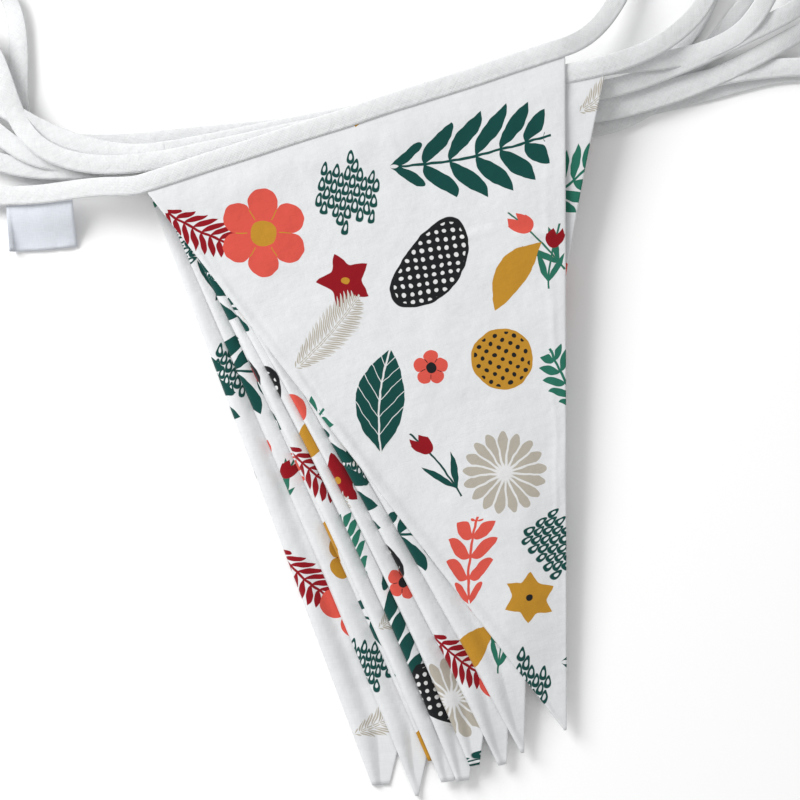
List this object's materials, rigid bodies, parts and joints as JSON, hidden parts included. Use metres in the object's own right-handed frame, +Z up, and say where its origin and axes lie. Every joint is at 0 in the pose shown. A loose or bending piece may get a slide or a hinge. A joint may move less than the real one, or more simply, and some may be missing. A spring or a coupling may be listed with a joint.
{
  "type": "fabric bunting",
  "caption": "Triangular printed cotton flags on a folded white cotton tape, lying folded to and fro and fanned out, with loops of tape between the flags and a free tie at each end.",
  "frame": {"origin": "middle of the whole box in plan, on the surface that the pile rests on", "axes": "+Z up, +X to the right along the top flag's tape, +Y away from the flags' tips"},
  "size_m": [0.617, 0.4498, 0.0232],
  "materials": {
    "printed_cotton": "matt plain-weave cotton with a coloured print",
    "white_tape": "matt white cotton tape",
    "label_satin": "white woven label, bare"
  },
  "bodies": {
    "root": {"flag_1": "printed_cotton", "flag_2": "printed_cotton", "flag_3": "printed_cotton", "flag_4": "printed_cotton", "flag_5": "printed_cotton", "flag_6": "printed_cotton", "flag_7": "printed_cotton", "flag_8": "printed_cotton", "flag_9": "printed_cotton", "tape_on_flag_1": "white_tape", "tape_on_flag_2": "white_tape", "tape_on_flag_3": "white_tape", "tape_on_flag_4": "white_tape", "tape_on_flag_5": "white_tape", "tape_on_flag_6": "white_tape", "tape_on_flag_7": "white_tape", "tape_on_flag_8": "white_tape", "tape_on_flag_9": "white_tape", "tape_loop_1_2": "white_tape", "tape_loop_2_3": "white_tape", "tape_loop_3_4": "white_tape", "tape_loop_4_5": "white_tape", "tape_loop_5_6": "white_tape", "tape_loop_6_7": "white_tape", "tape_loop_7_8": "white_tape", "tape_loop_8_9": "white_tape", "tie_front": "white_tape", "tie_back": "white_tape", "label": "label_satin"}
  },
  "joints": []
}
